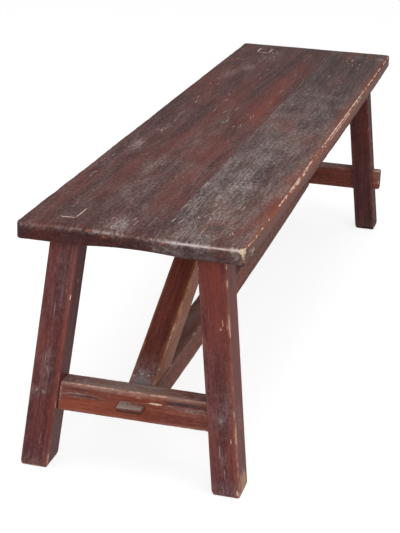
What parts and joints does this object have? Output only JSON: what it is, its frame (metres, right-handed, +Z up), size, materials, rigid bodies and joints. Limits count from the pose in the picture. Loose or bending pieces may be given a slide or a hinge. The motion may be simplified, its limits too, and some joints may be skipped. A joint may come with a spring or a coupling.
{
  "type": "plank bench",
  "caption": "Long wooden plank bench: edge-joined seat boards on splayed through-tenoned legs, pegged end stretchers, a long stretcher with through tenons, and diagonal braces.",
  "frame": {"origin": "on the floor, under the middle of the bench", "axes": "+X along the bench towards the end whose stretcher tenons stand proud, +Y across it towards the wide seat board, +Z up"},
  "size_m": [1.6, 0.399, 0.45],
  "materials": {
    "oxblood_board": "old dark red paint over wood, worn along the grain and hazed grey",
    "weathered_board": "grey weathered wood with remains of dark red paint",
    "leg_wood": "dark red-brown stained wood with pale worn edges",
    "rail_wood": "warm red-brown stained wood with pale worn edges and grey tops",
    "brace_wood": "dark red-brown stained wood, barer on its sides",
    "peg_wood": "pale end grain, worn",
    "dowel_wood": "bare wood",
    "nail_iron": "dull forged iron"
  },
  "bodies": {
    "root": {"seat_board_wide": "oxblood_board", "seat_board_narrow": "weathered_board", "seat_dowel_1": "dowel_wood", "seat_dowel_2": "dowel_wood", "seat_dowel_3": "dowel_wood", "seat_dowel_4": "dowel_wood", "seat_dowel_5": "dowel_wood", "leg_front_left": "leg_wood", "leg_back_left": "leg_wood", "leg_front_right": "leg_wood", "leg_back_right": "leg_wood", "end_stretcher_left": "rail_wood", "end_stretcher_right": "rail_wood", "long_stretcher": "rail_wood", "peg_front_left": "peg_wood", "peg_back_left": "peg_wood", "peg_front_right": "peg_wood", "peg_back_right": "peg_wood", "brace_left": "brace_wood", "brace_right": "brace_wood", "brace_left_foot_nail_1": "nail_iron", "brace_left_foot_nail_2": "nail_iron", "brace_left_head_nail_1": "nail_iron", "brace_left_head_nail_2": "nail_iron", "brace_right_foot_nail_1": "nail_iron", "brace_right_foot_nail_2": "nail_iron", "brace_right_head_nail_1": "nail_iron", "brace_right_head_nail_2": "nail_iron"}
  },
  "joints": []
}
